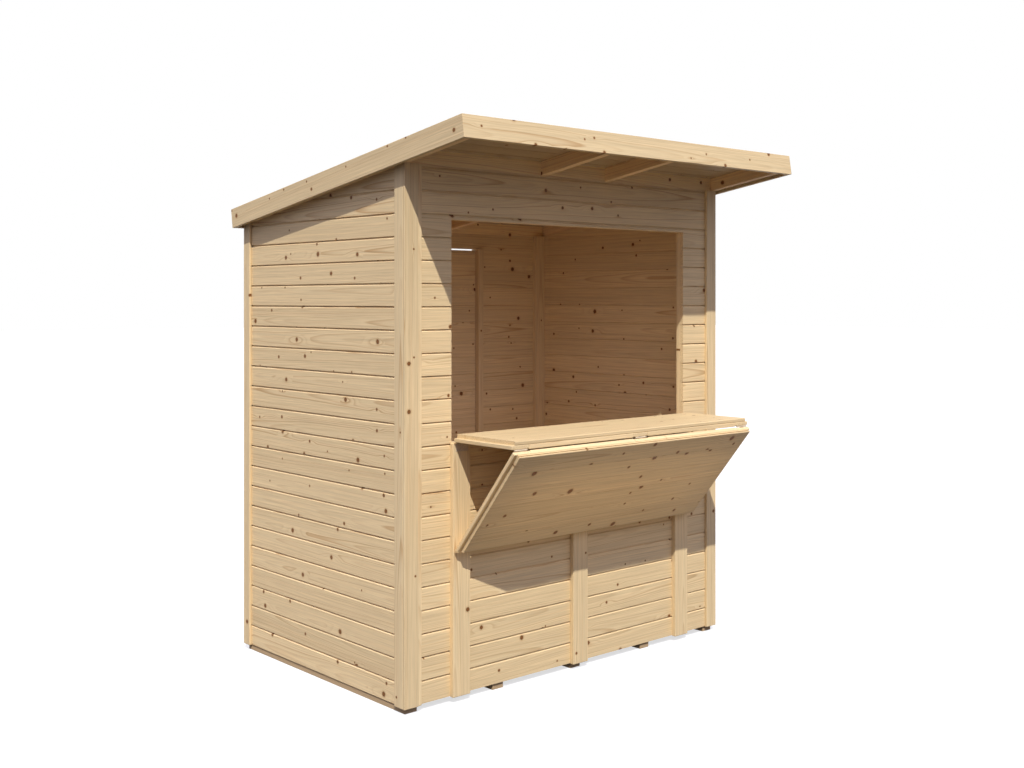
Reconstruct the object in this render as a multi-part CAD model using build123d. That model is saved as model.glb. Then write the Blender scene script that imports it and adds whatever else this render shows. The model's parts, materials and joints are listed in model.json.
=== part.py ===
from build123d import *
import os
from math import acos, atan2, cos, degrees, hypot, radians, sin, tan

# A small timber market stall with a lean-to roof. A two-leaf shutter closes the
# serving hatch: its lower leaf folds down to make the counter and its upper leaf
# folds under the counter as a prop. A door opens outwards at the back.
#
# Frame: millimetres, +Z up, the serving side faces -Y. The origin lies on the ground
# under the middle of the roof.

# Walls: their depth over the outer faces of the boards, and the boarding beside and over
# the openings, which with the openings gives the length and the height
wall_depth = 1250
front_left_width = 235
front_right_width = 222
over_hatch_height = 214.5
over_door_height = 80
board = 19

# Roof, square to its slope: its reaches past the front and back walls run down the slope
roof_slope_angle = 8.5
front_reach = 441
back_reach = 45
side_overhang = 56
deck = 19
fascia = 18
fascia_height = 90
rafter_width = 36
rafter_depth = 60
rafter_side_reach = 22
middle_rafter_spacing = 400
middle_rafter_shift = 1.5

# Floor
bearer_height = 24
bearer_width = 60
bearer_count = 5
bearer_setback_front = 8
bearer_setback_side = 4
floor_thickness = 18

# Posts and trims outside the boards, battens inside them
proud = 22
post_width = 91
trim_proud = 13
front_trim_width = 70
front_side_trim_width = 57
back_side_trim_width = 40
cover_strip_width = 20
cover_strip_proud = 8
corner_batten_width = 70
inner_batten = 24

# Serving hatch and its two leaves
hatch_width = 1448
hatch_top_gap = 2.5
hatch_side_gap = 8
hatch_frame_width = 60
post_lap = 8
post_height = 1040
counter_length = 356
flap_length = 567
leaf_panel = 16
leaf_batten = 16.5
leaf_rail_width = 60
rail_pin_gap = 1
foot_clearance = 5

# Door at the back
doorway_width = 884
door_gap = 6
door_top_gap = 15
door_jamb_width = 33
knob_radius = 17
knob_rim = 10
knob_chamfer = 5
knob_neck_radius = 9
knob_neck = 12
knob_height_share = 0.52

# Butt hinges: the pin stands off the wood faces, and the wood stops short of the pin
pin_offset = 4
pin_end_gap = 1
pin_radius = 1.5
pin_clearance = 0.05
knuckle_radius = 3.5
knuckle_gap = 0.5
plate = 2
plate_width = 30
plate_inset = 2
hinge_length = 66
middle_knuckle_share = 0.34
door_hinge_shares = (0.1, 0.5, 0.9)

# Places that the sizes above give
wall_length = front_left_width + hatch_width + front_right_width
left = -wall_length / 2
right = wall_length / 2
slope = tan(radians(roof_slope_angle))
slope_run = cos(radians(roof_slope_angle))
slope_rise = sin(radians(roof_slope_angle))
roof_height = rafter_depth + deck
roof_end = wall_depth / slope_run + back_reach
eaves_before_front = front_reach * slope_run + (fascia_height - roof_height) * slope_rise
eaves_behind_front = roof_end * slope_run + roof_height * slope_rise
front = (eaves_before_front - eaves_behind_front) / 2
back = front + wall_depth
base = bearer_height
floor_top = base + floor_thickness

hatch_left = left + front_left_width
hatch_right = right - front_right_width
hatch_middle = (hatch_left + hatch_right) / 2
sill_top = base + post_height
counter_pin_y = front - proud - pin_offset
counter_pin_z = sill_top + pin_end_gap
flap_pin_y = counter_pin_y - pin_end_gap - counter_length - pin_end_gap
flap_pin_z = counter_pin_z
foot_reach = front - proud - foot_clearance - flap_pin_y
foot_distance = pin_end_gap + flap_length
foot_radius = hypot(foot_distance, pin_offset)
prop_angle = degrees(acos(foot_reach / foot_radius) - atan2(pin_offset, foot_distance))
foot_bevel = 1 / tan(radians(prop_angle))
closed_flap_boards = flap_length - leaf_batten * foot_bevel
closed_height = pin_end_gap + counter_length + 2 * pin_end_gap + closed_flap_boards
hatch_top = counter_pin_z + closed_height + hatch_top_gap
front_wall_top = hatch_top + over_hatch_height
back_wall_top = front_wall_top - wall_depth * slope

doorway_left = -doorway_width / 2
doorway_right = doorway_width / 2
doorway_top = back_wall_top - over_door_height
door_left = doorway_left + door_gap
door_right = doorway_right - door_gap
door_bottom = floor_top + door_gap
door_top = doorway_top - door_top_gap
door_pin_x = doorway_left + door_gap / 2
door_pin_y = back + proud + pin_offset

post_middles = (
    hatch_left - post_lap + post_width / 2,
    hatch_middle,
    hatch_right + post_lap - post_width / 2,
)


def rafter_underside(y):
    """Height of the rafters' undersides at depth y."""
    return front_wall_top - (y - front) * slope


def deck_underside(y):
    """Height of the roof deck's underside at depth y."""
    return rafter_underside(y) + rafter_depth / slope_run


def block(x0, x1, y0, y1, z0, z1):
    """Square-cut timber between two opposite corners."""
    centre = Pos((x0 + x1) / 2, (y0 + y1) / 2, (z0 + z1) / 2)
    return centre * Box(x1 - x0, y1 - y0, z1 - z0)


def along_x(x0, x1, outline):
    """Timber of one section from x0 to x1, its outline given as points of y and z."""
    section = Plane.YZ.offset(x0) * Polygon(*outline, align=None)
    return extrude(section, amount=x1 - x0, dir=(1, 0, 0))


def raked(x0, x1, y0, y1, bottom, top):
    """Timber whose lower and upper edges follow heights given as functions of y."""
    outline = ((y0, bottom(y0)), (y1, bottom(y1)), (y1, top(y1)), (y0, top(y0)))
    return along_x(x0, x1, outline)


def at_base(y):
    """Height of the wall boards' lower edge, the same at every depth."""
    return base


def on_floor(y):
    """Height of the floor's upper face, the same at every depth."""
    return floor_top


def floor_pieces():
    """Bearers on the ground and the floor that lies on them between the walls."""
    first = left + bearer_setback_side + bearer_width / 2
    pitch = -2 * first / (bearer_count - 1)
    bearers = []
    for index in range(bearer_count):
        middle = first + index * pitch
        bearers.append(
            block(
                middle - bearer_width / 2,
                middle + bearer_width / 2,
                front + bearer_setback_front,
                back - bearer_setback_front,
                0,
                base,
            )
        )
    floor = block(left + board, right - board, front + board, back - board, base, floor_top)
    return {"floor_bearers": bearers, "floor": [floor]}


def side_walls():
    """Side walls, which stand between the front and back walls."""
    y0 = front + board
    y1 = back - board
    return {
        "left_wall": [raked(left, left + board, y0, y1, at_base, rafter_underside)],
        "right_wall": [raked(right - board, right, y0, y1, at_base, rafter_underside)],
    }


def front_wall():
    """Front wall in four parts round the serving hatch."""
    inner = front + board

    def over_hatch(y):
        return hatch_top

    return {
        "front_wall_left": [raked(left, hatch_left, front, inner, at_base, rafter_underside)],
        "front_wall_right": [raked(hatch_right, right, front, inner, at_base, rafter_underside)],
        "front_wall_below_hatch": [block(hatch_left, hatch_right, front, inner, base, sill_top)],
        "front_wall_over_hatch": [
            raked(hatch_left, hatch_right, front, inner, over_hatch, rafter_underside)
        ],
    }


def back_wall():
    """Back wall beside and over the doorway, with the threshold under the door."""
    inner = back - board

    def over_door(y):
        return doorway_top

    return {
        "back_wall_left": [raked(left, doorway_left, inner, back, at_base, rafter_underside)],
        "back_wall_right": [raked(doorway_right, right, inner, back, at_base, rafter_underside)],
        "back_wall_over_door": [
            raked(doorway_left, doorway_right, inner, back, over_door, rafter_underside)
        ],
        "door_threshold": [block(doorway_left, doorway_right, inner, back, base, floor_top)],
    }


def rafter_places():
    """Left faces of the rafters, from left to right."""
    shift = middle_rafter_shift
    half = rafter_width / 2
    return (
        left - rafter_side_reach,
        shift - middle_rafter_spacing / 2 - half,
        shift + middle_rafter_spacing / 2 - half,
        right + rafter_side_reach - rafter_width,
    )


def on_roof(piece):
    """Lays a piece on the slope.

    It is drawn level, with y=0 over the front wall's face and z=0 at the rafters' undersides.
    """
    return Pos(0, front, front_wall_top) * Rot(-roof_slope_angle, 0, 0) * piece


def roof_pieces():
    """Rafters, the deck on them, and the boards that close the walls between them."""
    y0 = fascia - front_reach
    y1 = roof_end - fascia
    places = rafter_places()
    rafters = [on_roof(block(x, x + rafter_width, y0, y1, 0, rafter_depth)) for x in places]
    front_infill = []
    back_infill = []
    for x, next_x in zip(places, places[1:]):
        bay = (x + rafter_width, next_x)
        front_infill.append(raked(*bay, front, front + board, rafter_underside, deck_underside))
        back_infill.append(raked(*bay, back - board, back, rafter_underside, deck_underside))
    deck_sides = (left - side_overhang + fascia, right + side_overhang - fascia)
    return {
        "rafters": rafters,
        "front_infill": front_infill,
        "back_infill": back_infill,
        "roof_deck": [on_roof(block(*deck_sides, y0, y1, rafter_depth, roof_height))],
    }


def roof_corners(inset):
    """Corners of the roof drawn level, moved in by the inset, starting front left."""
    x0 = left - side_overhang + inset
    x1 = right + side_overhang - inset
    y0 = inset - front_reach
    y1 = roof_end - inset
    return ((x0, y0), (x1, y0), (x1, y1), (x0, y1))


def fascia_boards():
    """Fascia boards round the roof's edge, mitred where they meet."""
    outer = roof_corners(0)
    inner = roof_corners(fascia)
    lift = Pos(0, 0, roof_height - fascia_height)
    boards = {}
    for index, side in enumerate(("front", "right", "back", "left")):
        following = (index + 1) % len(outer)
        plan = Polygon(outer[index], outer[following], inner[following], inner[index], align=None)
        board_piece = extrude(plan, amount=fascia_height, dir=(0, 0, 1))
        boards[f"{side}_fascia"] = [on_roof(lift * board_piece)]
    return boards


def outside_trims():
    """Corner trims, the cover strip beside the left one, and the posts under the hatch."""
    trim_sides = (
        (left - trim_proud, left - trim_proud + front_trim_width),
        (right + trim_proud - front_trim_width, right + trim_proud),
    )
    front_trims = [
        raked(x0, x1, front - trim_proud, front, at_base, rafter_underside) for x0, x1 in trim_sides
    ]
    back_trims = [
        raked(x0, x1, back, back + trim_proud, at_base, rafter_underside) for x0, x1 in trim_sides
    ]
    side_trims = []
    for x0 in (left - trim_proud, right):
        for y0, y1 in ((front, front + front_side_trim_width), (back - back_side_trim_width, back)):
            side_trims.append(raked(x0, x0 + trim_proud, y0, y1, at_base, rafter_underside))
    strip_left = left - trim_proud + front_trim_width
    strip = raked(
        strip_left,
        strip_left + cover_strip_width,
        front - cover_strip_proud,
        front,
        at_base,
        rafter_underside,
    )
    posts = [
        block(x - post_width / 2, x + post_width / 2, front - proud, front, base, sill_top)
        for x in post_middles
    ]
    return {
        "front_corner_trims": front_trims,
        "back_corner_trims": back_trims,
        "side_corner_trims": side_trims,
        "corner_cover_strip": [strip],
        "front_posts": posts,
    }


def inside_battens():
    """Battens in the corners and the frames round the hatch and the doorway."""
    inner_left = left + board
    inner_right = right - board
    inner_front = front + board
    inner_back = back - board
    corner_battens = []
    for x0 in (inner_left, inner_right - corner_batten_width):
        for y0 in (inner_front, inner_back - inner_batten):
            x1 = x0 + corner_batten_width
            y1 = y0 + inner_batten
            corner_battens.append(raked(x0, x1, y0, y1, on_floor, rafter_underside))
    frame_top = hatch_top + hatch_frame_width
    frame_depth = (inner_front, inner_front + inner_batten)
    jambs = [
        block(x0, x0 + hatch_frame_width, *frame_depth, floor_top, frame_top)
        for x0 in (hatch_left - hatch_frame_width, hatch_right)
    ]
    head = block(hatch_left, hatch_right, *frame_depth, hatch_top, frame_top)
    sill = block(hatch_left, hatch_right, *frame_depth, sill_top - hatch_frame_width, sill_top)
    door_jambs = [
        block(x0, x0 + door_jamb_width, inner_back - inner_batten, inner_back, floor_top, doorway_top)
        for x0 in (doorway_left - door_jamb_width, doorway_right)
    ]
    door_posts = [
        block(x0, x0 + post_width, back, back + proud, base, doorway_top)
        for x0 in (doorway_left - post_width, doorway_right)
    ]
    return {
        "corner_battens": corner_battens,
        "hatch_jambs": jambs,
        "hatch_head": [head],
        "hatch_sill": [sill],
        "door_jambs": door_jambs,
        "door_posts": door_posts,
    }


def shutter_leaf(length, bevel, rail_from_pin):
    """One leaf of the shutter, level, with its pin at the origin and its boards uppermost.

    The boards fit inside the hatch, and three battens under them line up with the posts.
    Two rails between the battens stiffen the edge that the other leaf hangs on, and are
    thicker than the battens, so that little of a slot is left between the leaves. The far end
    leans back towards the pin by the bevel for each unit of thickness.
    """
    near = -pin_end_gap
    batten_top = pin_offset + leaf_batten
    leaf_top = batten_top + leaf_panel

    def far(z):
        return near - length + (z - pin_offset) * bevel

    def layer(x0, x1, z0, z1):
        return along_x(x0, x1, ((near, z0), (far(z0), z0), (far(z1), z1), (near, z1)))

    boards_left = hatch_left + hatch_side_gap
    boards_right = hatch_right - hatch_side_gap
    boards = layer(boards_left, boards_right, batten_top, leaf_top)
    half = post_width / 2
    battens = [layer(x - half, x + half, pin_offset, batten_top) for x in post_middles]
    rail_sides = (near - rail_from_pin - leaf_rail_width, near - rail_from_pin)
    rails = [
        block(x + half, next_x - half, *rail_sides, rail_pin_gap, batten_top)
        for x, next_x in zip(post_middles, post_middles[1:])
    ]
    return boards, battens, rails


def hinge_half(side, carries_pin):
    """One half of a butt hinge, its pin along X at the origin and the wood above its plate.

    The plate runs from the pin towards side times +Y. The half that carries the pin has
    the two outer knuckles, and the other half has the middle one.
    """
    half_middle = hinge_length * middle_knuckle_share / 2
    half_length = hinge_length / 2
    clear = knuckle_radius + plate_inset
    bottom = pin_offset - plate
    y0, y1 = sorted((side * clear, side * (clear + plate_width)))
    half = block(-half_length, half_length, y0, y1, bottom, pin_offset)
    if carries_pin:
        spans = ((-half_length, -half_middle - knuckle_gap), (half_middle + knuckle_gap, half_length))
    else:
        spans = ((-half_middle, half_middle),)
    for x0, x1 in spans:
        tongue0, tongue1 = sorted((0, side * clear))
        half += block(x0, x1, tongue0, tongue1, bottom, pin_offset)
        half += turned_bar(x0, x1, knuckle_radius)
    if carries_pin:
        half += turned_bar(-half_length, half_length, pin_radius)
    else:
        half -= turned_bar(-half_length, half_length, pin_radius + pin_clearance)
    return half


def turned_bar(x0, x1, radius):
    """Round bar along X."""
    return Pos((x0 + x1) / 2, 0, 0) * Rot(0, 90, 0) * Cylinder(radius, x1 - x0)


def shutter_pieces():
    """The counter and the leaf that props it, with the hinges at both pins."""
    counter_pin = Pos(0, counter_pin_y, counter_pin_z)
    flap_pin = Pos(0, flap_pin_y, flap_pin_z)
    folded_under = flap_pin * Rot(180 - prop_angle, 0, 0)
    down_the_post = counter_pin * Rot(-90, 0, 0)
    counter_leaf = shutter_leaf(counter_length, 0, counter_length - leaf_rail_width)
    counter_boards, counter_battens, counter_rails = counter_leaf
    flap_boards, flap_battens, flap_rails = shutter_leaf(flap_length, foot_bevel, 0)

    def hinge_row(place, side, carries_pin):
        return [place * Pos(x, 0, 0) * hinge_half(side, carries_pin) for x in post_middles]

    return {
        "counter_boards": [counter_pin * counter_boards],
        "counter_battens": [counter_pin * batten for batten in counter_battens],
        "counter_rails": [counter_pin * rail for rail in counter_rails],
        "counter_hinge_post_halves": hinge_row(down_the_post, 1, True),
        "counter_hinge_leaf_halves": hinge_row(counter_pin, -1, False),
        "flap_boards": [folded_under * flap_boards],
        "flap_battens": [folded_under * batten for batten in flap_battens],
        "flap_rails": [folded_under * rail for rail in flap_rails],
        "flap_hinge_counter_halves": hinge_row(flap_pin, 1, True),
        "flap_hinge_leaf_halves": hinge_row(folded_under, -1, False),
    }


def door_knob():
    """Turned knob with a chamfered head, on the batten at the door's free edge."""
    shoulder = knob_neck + knob_rim
    outline = (
        (0, 0),
        (knob_neck_radius, 0),
        (knob_neck_radius, knob_neck),
        (knob_radius, knob_neck),
        (knob_radius, shoulder),
        (knob_radius - knob_chamfer, shoulder + knob_chamfer),
        (0, shoulder + knob_chamfer),
    )
    height = door_bottom + (door_top - door_bottom) * knob_height_share
    place = Pos(door_right - post_width / 2, back + proud, height)
    return place * revolve(Polygon(*outline, align=None), axis=Axis.Y)


def door_pieces():
    """Door leaf of level boards with upright battens outside, its hinges and its knob."""
    leaf = block(door_left, door_right, back - board, back, door_bottom, door_top)
    batten_places = (door_left, -post_width / 2, door_right - post_width)
    battens = [
        block(x0, x0 + post_width, back, back + proud, door_bottom, door_top)
        for x0 in batten_places
    ]
    post_halves = []
    leaf_halves = []
    for share in door_hinge_shares:
        height = door_bottom + (door_top - door_bottom) * share
        pin = Plane(origin=(door_pin_x, door_pin_y, height), x_dir=(0, 0, 1), z_dir=(0, -1, 0))
        post_halves.append(pin * hinge_half(1, True))
        leaf_halves.append(pin * hinge_half(-1, False))
    return {
        "door_boards": [leaf],
        "door_battens": battens,
        "door_hinge_post_halves": post_halves,
        "door_hinge_leaf_halves": leaf_halves,
        "door_knob": [door_knob()],
    }


pieces = {}
for group in (
    floor_pieces,
    side_walls,
    front_wall,
    back_wall,
    roof_pieces,
    fascia_boards,
    outside_trims,
    inside_battens,
    shutter_pieces,
    door_pieces,
):
    pieces.update(group())

os.makedirs("parts", exist_ok=True)
for name, solids in pieces.items():
    whole = solids[0] if len(solids) == 1 else Compound(children=solids)
    export_step(whole, f"parts/{name}.step")
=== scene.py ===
"""Dressed scene of a small timber market stall with a fold-down counter.

Every timber of the frame is rebuilt as the boards and planed lengths that it stands for. Each
board carries its own grain, so rings, knots and end grain run through the wood.
"""

import json
import logging
import math
import random
from collections.abc import Iterable, Sequence
from dataclasses import dataclass, field
from enum import Enum

import bmesh
import bpy
from bmesh.types import BMesh, BMVert
from bpy.types import Material, Node, NodeSocket, Object
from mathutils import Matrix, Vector


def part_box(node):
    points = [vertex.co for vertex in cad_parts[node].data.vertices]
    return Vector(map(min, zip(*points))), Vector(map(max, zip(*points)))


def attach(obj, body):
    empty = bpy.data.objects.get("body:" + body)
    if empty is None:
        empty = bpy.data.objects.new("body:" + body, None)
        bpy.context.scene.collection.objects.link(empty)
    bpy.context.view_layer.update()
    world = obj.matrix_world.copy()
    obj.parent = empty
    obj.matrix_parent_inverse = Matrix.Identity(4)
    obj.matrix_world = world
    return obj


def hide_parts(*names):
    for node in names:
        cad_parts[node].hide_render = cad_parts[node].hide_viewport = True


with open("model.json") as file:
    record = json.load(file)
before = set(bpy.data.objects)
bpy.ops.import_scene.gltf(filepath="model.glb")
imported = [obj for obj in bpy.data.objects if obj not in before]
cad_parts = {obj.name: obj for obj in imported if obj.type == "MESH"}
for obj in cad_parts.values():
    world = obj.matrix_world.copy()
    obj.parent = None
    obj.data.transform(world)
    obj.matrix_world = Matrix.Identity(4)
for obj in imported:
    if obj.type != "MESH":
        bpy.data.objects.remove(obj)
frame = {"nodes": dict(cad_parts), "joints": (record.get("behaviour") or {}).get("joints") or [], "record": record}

LOG = logging.getLogger("market_stall")
Colour = tuple[float, float, float]
Point = tuple[float, float, float]
Pair = tuple[float, float]
Feed = NodeSocket | float | Sequence[float]

IMAGE_WIDTH = 1024
X = Vector((1, 0, 0))
Y = Vector((0, 1, 0))
Z = Vector((0, 0, 1))
TINY = 1e-5
FLAT_ANGLE = math.radians(1)
SORT_DIGITS = 4
ROUND_PROFILE = 0.5
WHITE = (1.0, 1.0, 1.0)


class Body(Enum):
    """Bodies of the frame that pieces ride on."""

    STALL = "stall"
    COUNTER = "counter"
    FLAP = "flap"
    DOOR = "door"


class Joint(Enum):
    """How the face side of neighbouring boards meets."""

    V_GROOVE = "v_groove"
    FINE = "fine"


class Mark(Enum):
    """Values that every corner of a timber carries for its finish."""

    GRAIN = "grain"
    TONE = "tone"
    KNOTS = "knots"
    KNOT_SIZE = "knot_size"


class ShaderGraph:
    """Node tree of one material or world, written as sums of sockets."""

    def __init__(self, tree: bpy.types.NodeTree) -> None:
        """Empties the tree."""
        self.tree = tree
        self.tree.nodes.clear()

    def node(self, kind: str, **settings: object) -> Node:
        """Adds a node.

        Args:
            kind: Blender's name for the node's type.
            settings: Properties to set on it.

        Returns:
            The new node.
        """
        made = self.tree.nodes.new(kind)
        for key, value in settings.items():
            setattr(made, key, value)
        return made

    def feed(self, socket: NodeSocket, value: Feed) -> None:
        """Links a socket, or sets its own value.

        Args:
            socket: The input to feed.
            value: Another node's output, or a constant.
        """
        if isinstance(value, NodeSocket):
            self.tree.links.new(value, socket)
        else:
            socket.default_value = value

    def filled(self, kind: str, inputs: dict[str, Feed]) -> Node:
        """Adds a node and feeds inputs by name.

        Args:
            kind: Blender's name for the node's type.
            inputs: Outputs or constants for its inputs.

        Returns:
            The new node.
        """
        made = self.node(kind)
        for name, value in inputs.items():
            self.feed(made.inputs[name], value)
        return made

    def mark(self, mark: Mark, output: str = "Fac") -> NodeSocket:
        """Value that the mesh carries under a mark."""
        return self.node("ShaderNodeAttribute", attribute_name=mark.value).outputs[output]

    def output(self, kind: str, surface: NodeSocket) -> None:
        """Ends the tree in an output node of this kind."""
        self.filled(kind, {"Surface": surface})

    def math(self, operation: str, *values: Feed, clamp: bool = False) -> NodeSocket:
        """Works out one sum.

        Args:
            operation: Name of the sum.
            values: Its terms.
            clamp: Whether the result is kept between 0 and 1.

        Returns:
            The result.
        """
        made = self.node("ShaderNodeMath", operation=operation, use_clamp=clamp)
        for socket, value in zip(made.inputs, values):
            self.feed(socket, value)
        return made.outputs[0]

    def length(self, first: NodeSocket, second: NodeSocket) -> NodeSocket:
        """Works out the long side over two square ones.

        Args:
            first: One short side.
            second: The other.

        Returns:
            The long side.
        """
        squares = self.math("MULTIPLY", first, first)
        squares = self.math("MULTIPLY_ADD", second, second, squares)
        return self.math("SQRT", squares)

    def vector(self, *values: Feed) -> NodeSocket:
        """Joins three numbers into a vector.

        Args:
            values: The numbers.

        Returns:
            The vector.
        """
        made = self.node("ShaderNodeCombineXYZ")
        for socket, value in zip(made.inputs, values):
            self.feed(socket, value)
        return made.outputs[0]

    def split(self, vector: NodeSocket) -> tuple[NodeSocket, ...]:
        """Splits a vector or colour.

        Args:
            vector: What is split.

        Returns:
            Its three numbers.
        """
        made = self.node("ShaderNodeSeparateXYZ")
        self.feed(made.inputs[0], vector)
        return tuple(made.outputs)

    def scaled(self, vector: NodeSocket, factor: Feed) -> NodeSocket:
        """Multiplies a vector or colour by a number.

        Args:
            vector: What is multiplied.
            factor: The number.

        Returns:
            The product.
        """
        made = self.node("ShaderNodeVectorMath", operation="SCALE")
        self.feed(made.inputs[0], vector)
        self.feed(made.inputs["Scale"], factor)
        return made.outputs[0]

    def noise(self, vector: NodeSocket, layers: float) -> Node:
        """Cloud of noise, read at a place that is already scaled, with finer layers in it."""
        inputs = {"Vector": vector, "Scale": 1.0, "Detail": layers}
        return self.filled("ShaderNodeTexNoise", inputs)

    def step(self, value: NodeSocket, low: Feed, high: Feed) -> NodeSocket:
        """Eases from 0 to 1.

        Args:
            value: What is followed.
            low: Where it leaves 0.
            high: Where it reaches 1.

        Returns:
            The eased number.
        """
        made = self.node("ShaderNodeMapRange", interpolation_type="SMOOTHSTEP")
        for name, term in (("Value", value), ("From Min", low), ("From Max", high)):
            self.feed(made.inputs[name], term)
        return made.outputs[0]

    def fall(self, value: NodeSocket, low: Feed, high: Feed) -> NodeSocket:
        """Eases from 1 to 0 over the places where step eases from 0 to 1."""
        return self.math("SUBTRACT", 1.0, self.step(value, low, high))

    def mix(self, factor: Feed, first: Feed, second: Feed) -> NodeSocket:
        """Blends two colours.

        Args:
            factor: Share of the second.
            first: Colour at 0.
            second: Colour at 1.

        Returns:
            The blended colour.
        """
        made = self.node("ShaderNodeMix", data_type="RGBA")
        terms = (factor, first, second)
        for identifier, value in zip(("Factor_Float", "A_Color", "B_Color"), terms):
            socket = next(s for s in made.inputs if s.identifier == identifier)
            self.feed(socket, opaque(value))
        return next(s for s in made.outputs if s.identifier == "Result_Color")

    def ramp(self, value: NodeSocket, stops: Iterable[Pair]) -> NodeSocket:
        """Reads a number off a curve of straight lengths.

        Args:
            value: Place on the curve.
            stops: Places and heights from left to right, with ends at 0 and 1.

        Returns:
            The curve's height.
        """
        made = self.node("ShaderNodeValToRGB")
        elements = made.color_ramp.elements
        elements.remove(elements[1])
        for index, (place, height) in enumerate(stops):
            element = elements.new(place) if index else elements[0]
            element.position = place
            element.color = (height, height, height, 1.0)
        self.feed(made.inputs[0], value)
        return made.outputs[0]


def opaque(value: Feed) -> Feed:
    """Adds full opacity to a plain colour.

    Args:
        value: A colour, or anything else that feeds a socket.

    Returns:
        The colour with its opacity, and anything else as it is.
    """
    if isinstance(value, tuple) and len(value) == 3:
        return (*value, 1.0)
    return value


def new_material(name: str) -> tuple[Material, ShaderGraph]:
    """Starts a material.

    Args:
        name: The material's name.

    Returns:
        The material, and its nodes, of which there are none yet.
    """
    material = bpy.data.materials.new(name)
    material.use_nodes = True
    return material, ShaderGraph(material.node_tree)


@dataclass(frozen=True)
class LogPlace:
    """Place in the log of the point that is shaded, in metres."""

    graph: ShaderGraph
    along: NodeSocket
    across: NodeSocket
    depth: NodeSocket

    def noise(self, cells: Pair, layers: float) -> Node:
        """Adds noise that runs with the grain.

        Args:
            cells: Cells a metre along the grain and across it.
            layers: How many finer layers it has.

        Returns:
            The noise node.
        """
        length, width = cells
        place = self.graph.vector(
            self.graph.math("MULTIPLY", self.along, length),
            self.graph.math("MULTIPLY", self.across, width),
            self.graph.math("MULTIPLY", self.depth, width),
        )
        return self.graph.noise(place, layers)


@dataclass(frozen=True)
class GrainForm:
    """How rings and fibres are drawn.

    Attributes:
        layers: Finer layers of the fibres and streaks.
        fibre_cells: Fibres a metre along and across the grain.
        fibre_least: Lightness of the darkest fibre.
        fibre_swing: How much lighter the palest one is.
        streak_cells: Broad streaks a metre along and across the grain.
        drift_cells: Bends of the pith a metre along and across the grain.
        drift_layers: Finer layers of the bends.
        vigour_least: Strength of the faintest ring.
        vigour_swing: How much stronger the strongest one is.
        vigour_power: How rare strong rings are.
        late_curve: Share of late wood through a ring.
        relief: Height of the planed face's relief in metres.
        ring_relief: How far late wood stands up beside the fibres.
        late_gloss: How much smoother late wood is.
        shine: Strength of the gloss.
    """

    layers: float = 3.0
    fibre_cells: Pair = (9.0, 420.0)
    fibre_least: float = 0.84
    fibre_swing: float = 0.34
    streak_cells: Pair = (2.2, 140.0)
    drift_cells: Pair = (1.5, 3.0)
    drift_layers: float = 1.5
    vigour_least: float = 0.2
    vigour_swing: float = 0.8
    vigour_power: float = 3.0
    late_curve: tuple[Pair, ...] = ((0.0, 0.0), (0.45, 0.10), (0.88, 1.0), (1.0, 0.0))
    relief: float = 0.0006
    ring_relief: float = 0.5
    late_gloss: float = 0.12
    shine: float = 0.12


@dataclass(frozen=True)
class KnotForm:
    """How knots are drawn, with distances from a knot's middle counted in its radii.

    Attributes:
        core: Where the knot's own colour begins to fade and where it ends.
        rim_inside: Where the dark rim begins and where it is full.
        rim_outside: Where the rim begins to fade and where it ends.
        rim_share: Strength of the rim.
        rim_sink: How far the rim lies below the fibres.
        halo: Where the warm wood round the knot begins to fade and where it ends.
        halo_share: Strength of the warm wood.
        least: Size of the smallest knot.
        growth: How much larger the largest one is.
        rarity: How rare large knots are.
        ragged: How uneven the outline is.
        ragged_cells: Bumps of the outline a metre.
        ragged_layers: Finer layers of the bumps.
        squeeze: How far the grain's flow round a knot is drawn out along the board.
        reach: How far away the rings begin to bend.
        push: How far the rings are pushed out.
    """

    core: Pair = (0.72, 1.02)
    rim_inside: Pair = (0.45, 0.85)
    rim_outside: Pair = (0.95, 1.2)
    rim_share: float = 0.75
    rim_sink: float = 0.8
    halo: Pair = (0.9, 2.1)
    halo_share: float = 0.5
    least: float = 0.42
    growth: float = 0.72
    rarity: float = 2.2
    ragged: float = 0.5
    ragged_cells: Pair = (190.0, 190.0)
    ragged_layers: float = 1.0
    squeeze: float = 0.22
    reach: float = 3.2
    push: float = 0.9


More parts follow.
